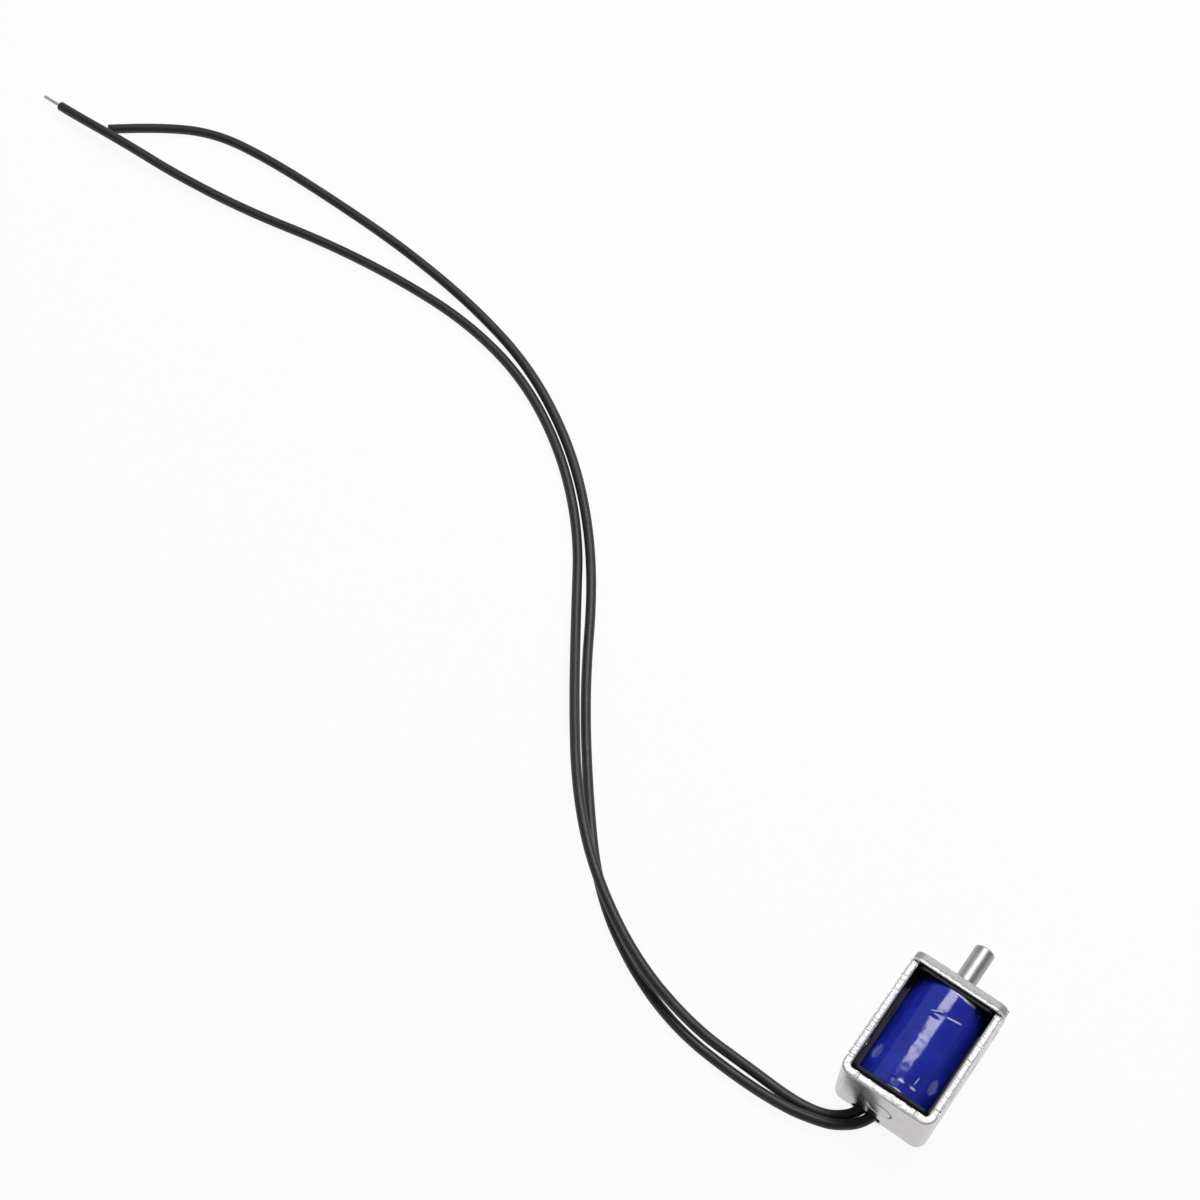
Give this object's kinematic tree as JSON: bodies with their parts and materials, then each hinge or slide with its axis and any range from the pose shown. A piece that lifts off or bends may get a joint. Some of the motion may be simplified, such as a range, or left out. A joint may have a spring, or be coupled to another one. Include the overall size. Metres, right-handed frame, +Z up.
{
  "type": "solenoid lock",
  "caption": "Miniature solenoid lock: a blue taped coil in an open bent-steel frame, with a sprung round steel lock pin through a bushed front plate and long black flying leads.",
  "frame": {"origin": "on the surface the solenoid lies on, under the axis, midway between the rear wall's outer face and the lock pin's tip", "axes": "+X along the lock pin, out of the front plate; +Y towards the side the leads run off to; +Z up from the surface"},
  "size_m": [0.0874, 0.2206, 0.0125],
  "materials": {
    "frame_steel": "nickel-plated pressed steel",
    "core_steel": "turned soft iron",
    "pin_steel": "ground",
    "spring_steel": "drawn wire",
    "black_plastic": "moulded",
    "enamelled_copper": "enamelled wire",
    "cream_tape": "matt",
    "blue_tape": "glossy polyester tape",
    "brass": "drawn",
    "black_rubber": "matt",
    "tinned_copper": "tinned",
    "lead_insulation": "smooth vinyl"
  },
  "bodies": {
    "housing": {"frame": "frame_steel", "front_plate": "frame_steel", "fixed_core": "core_steel", "bobbin": "black_plastic", "winding": "enamelled_copper", "insulation_wrap": "cream_tape", "tape_wrap": "blue_tape", "guide_sleeve": "brass", "front_bushing": "black_plastic", "pole_shim": "brass", "return_spring": "spring_steel", "splice_a": "tinned_copper", "splice_b": "tinned_copper", "lead_a": "lead_insulation", "lead_b": "lead_insulation", "strand_a": "tinned_copper", "strand_b": "tinned_copper"},
    "cushion": {"front_cushion": "black_rubber"},
    "bolt": {"plunger": "core_steel", "lock_pin": "pin_steel"}
  },
  "joints": [
    {"name": "plunger_slide", "type": "slide", "parent": "housing", "child": "cushion", "axis": [1, 0, 0], "range_m": [-0.004, 0], "stiffness_N_per_m": 100, "springref_m": 0.003, "deforming": ["return_spring"]},
    {"name": "plunger_turn", "type": "hinge", "parent": "cushion", "child": "bolt", "pos_m": [0, 0, 0.00625], "axis": [1, 0, 0], "continuous": true}
  ]
}
